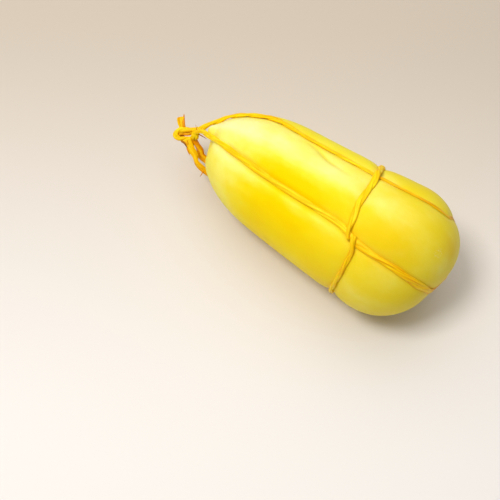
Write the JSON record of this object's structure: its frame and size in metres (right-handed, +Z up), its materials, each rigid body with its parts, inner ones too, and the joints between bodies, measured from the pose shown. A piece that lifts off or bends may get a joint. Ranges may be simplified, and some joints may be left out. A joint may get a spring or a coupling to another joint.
{
  "type": "caciocavallo cheese",
  "caption": "Log-shaped stretched-curd cheese with rounded ends, tied lengthwise and round its girth with raffia knotted in a loop at one end.",
  "frame": {"origin": "on the small flat spot that the cheese rests on, below the middle of its length", "axes": "+X along the cheese, from the knot to the plain end; +Z up from the surface it lies on"},
  "size_m": [0.2328, 0.0976, 0.0958],
  "materials": {
    "cheese": "smooth waxy rind with a soft sheen, lemon to deep yellow, greener at the plain end",
    "raffia": "twisted plant fibre, dyed yellow, matte with a faint sheen along the fibres"
  },
  "bodies": {
    "root": {"cheese": "cheese", "raffia_tie": "raffia", "raffia_girth": "raffia"}
  },
  "joints": []
}
